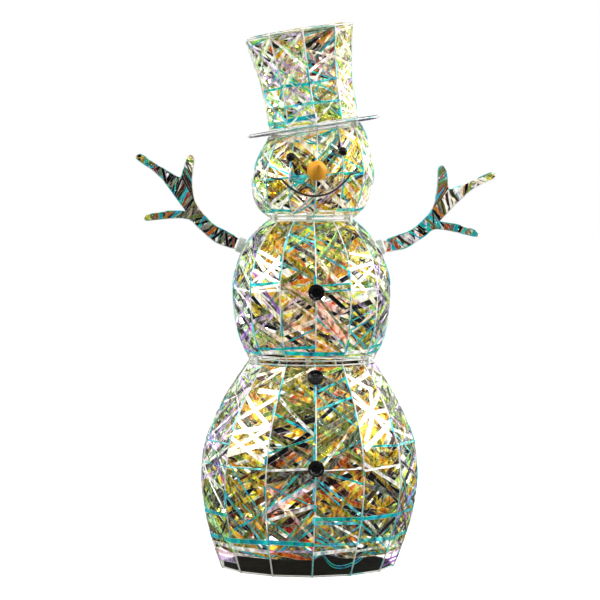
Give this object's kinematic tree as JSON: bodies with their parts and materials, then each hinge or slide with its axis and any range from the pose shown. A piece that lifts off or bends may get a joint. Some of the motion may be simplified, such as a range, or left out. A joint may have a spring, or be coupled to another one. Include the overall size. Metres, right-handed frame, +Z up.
{
  "type": "pre-lit yard snowman",
  "caption": "Free-standing wire-cage snowman in film ribbon with lamp strings, tilted top hat, lift-off sections and turning branch arms.",
  "frame": {"origin": "centre of the base plate's underside, on the surface that the snowman stands on", "axes": "+Z up; the face, buttons and nose look along -Y; +X is towards the right in the front view"},
  "size_m": [1.0129, 0.6322, 1.519],
  "materials": {
    "white_wire": "white coated steel wire, satin",
    "iridescent_film": "clear iridescent ribbon film, mirror-like at a slant and gold, olive or teal seen through",
    "brim_film": "clear grey-lavender film, gloss",
    "arm_film": "dark iridescent film, gloss",
    "lamp_cord": "clear to white lamp cord, gloss",
    "white_plastic": "white moulded plastic, satin",
    "clear_plastic": "clear moulded tube, gloss",
    "black_plastic": "black moulded plastic, gloss",
    "black_wire": "black coated wire, satin",
    "black_panel": "black ribbed panel, matt",
    "orange_plastic": "light orange moulded carrot with grooves, satin"
  },
  "bodies": {
    "base": {"base_cage": "white_wire", "base_film_wrap": "iridescent_film", "base_plate": "black_panel", "power_inlet": "black_plastic", "base_light_string": "lamp_cord", "waist_socket": "white_plastic", "waist_clip_1": "white_plastic", "waist_clip_2": "white_plastic", "waist_clip_3": "white_plastic", "waist_clip_4": "white_plastic", "middle_button": "black_plastic", "lower_button": "black_plastic"},
    "torso": {"torso_cage": "white_wire", "torso_film_wrap": "iridescent_film", "torso_light_string": "lamp_cord", "waist_plug": "white_plastic", "neck_socket": "white_plastic", "neck_clip_1": "white_plastic", "neck_clip_2": "white_plastic", "neck_clip_3": "white_plastic", "neck_clip_4": "white_plastic", "upper_button": "black_plastic"},
    "head": {"head_cage": "white_wire", "head_film_wrap": "iridescent_film", "head_light_string": "lamp_cord", "neck_plug": "white_plastic", "hat_socket": "white_plastic", "hat_clip_1": "white_plastic", "hat_clip_2": "white_plastic", "hat_clip_3": "white_plastic", "hat_clip_4": "white_plastic", "carrot_nose": "orange_plastic", "left_eye": "black_plastic", "right_eye": "black_plastic", "smile_wire": "black_wire"},
    "hat": {"hat_cage": "white_wire", "crown_film_wrap": "iridescent_film", "crown_top_film": "iridescent_film", "brim_film_top": "brim_film", "brim_film_under": "brim_film", "hat_light_string": "lamp_cord", "hat_plug": "white_plastic"},
    "left_socket": {"left_sleeve": "clear_plastic"},
    "left_arm": {"left_arm_frame": "white_wire", "left_arm_film_front": "arm_film", "left_arm_film_back": "arm_film"},
    "right_socket": {"right_sleeve": "clear_plastic"},
    "right_arm": {"right_arm_frame": "white_wire", "right_arm_film_front": "arm_film", "right_arm_film_back": "arm_film"}
  },
  "joints": [
    {"name": "torso_lift", "type": "slide", "parent": "base", "child": "torso", "axis": [0, 0, 1], "range_m": [0, 0.12]},
    {"name": "head_lift", "type": "slide", "parent": "torso", "child": "head", "axis": [0, 0, 1], "range_m": [0, 0.12]},
    {"name": "hat_lift", "type": "slide", "parent": "head", "child": "hat", "axis": [-0.153, 0, 0.9882], "range_m": [0, 0.12]},
    {"name": "left_sleeve_pull", "type": "slide", "parent": "torso", "child": "left_socket", "axis": [-0.9272, 0, 0.3746], "range_m": [0, 0.05]},
    {"name": "left_arm_turn", "type": "hinge", "parent": "left_socket", "child": "left_arm", "pos_m": [-0.205, 0, 0.902], "axis": [-0.9272, 0, 0.3746], "range_deg": [-60, 60]},
    {"name": "right_sleeve_pull", "type": "slide", "parent": "torso", "child": "right_socket", "axis": [0.9724, 0, 0.2334], "range_m": [0, 0.05]},
    {"name": "right_arm_turn", "type": "hinge", "parent": "right_socket", "child": "right_arm", "pos_m": [0.202, 0, 0.894], "axis": [0.9724, 0, 0.2334], "range_deg": [-60, 60]}
  ]
}
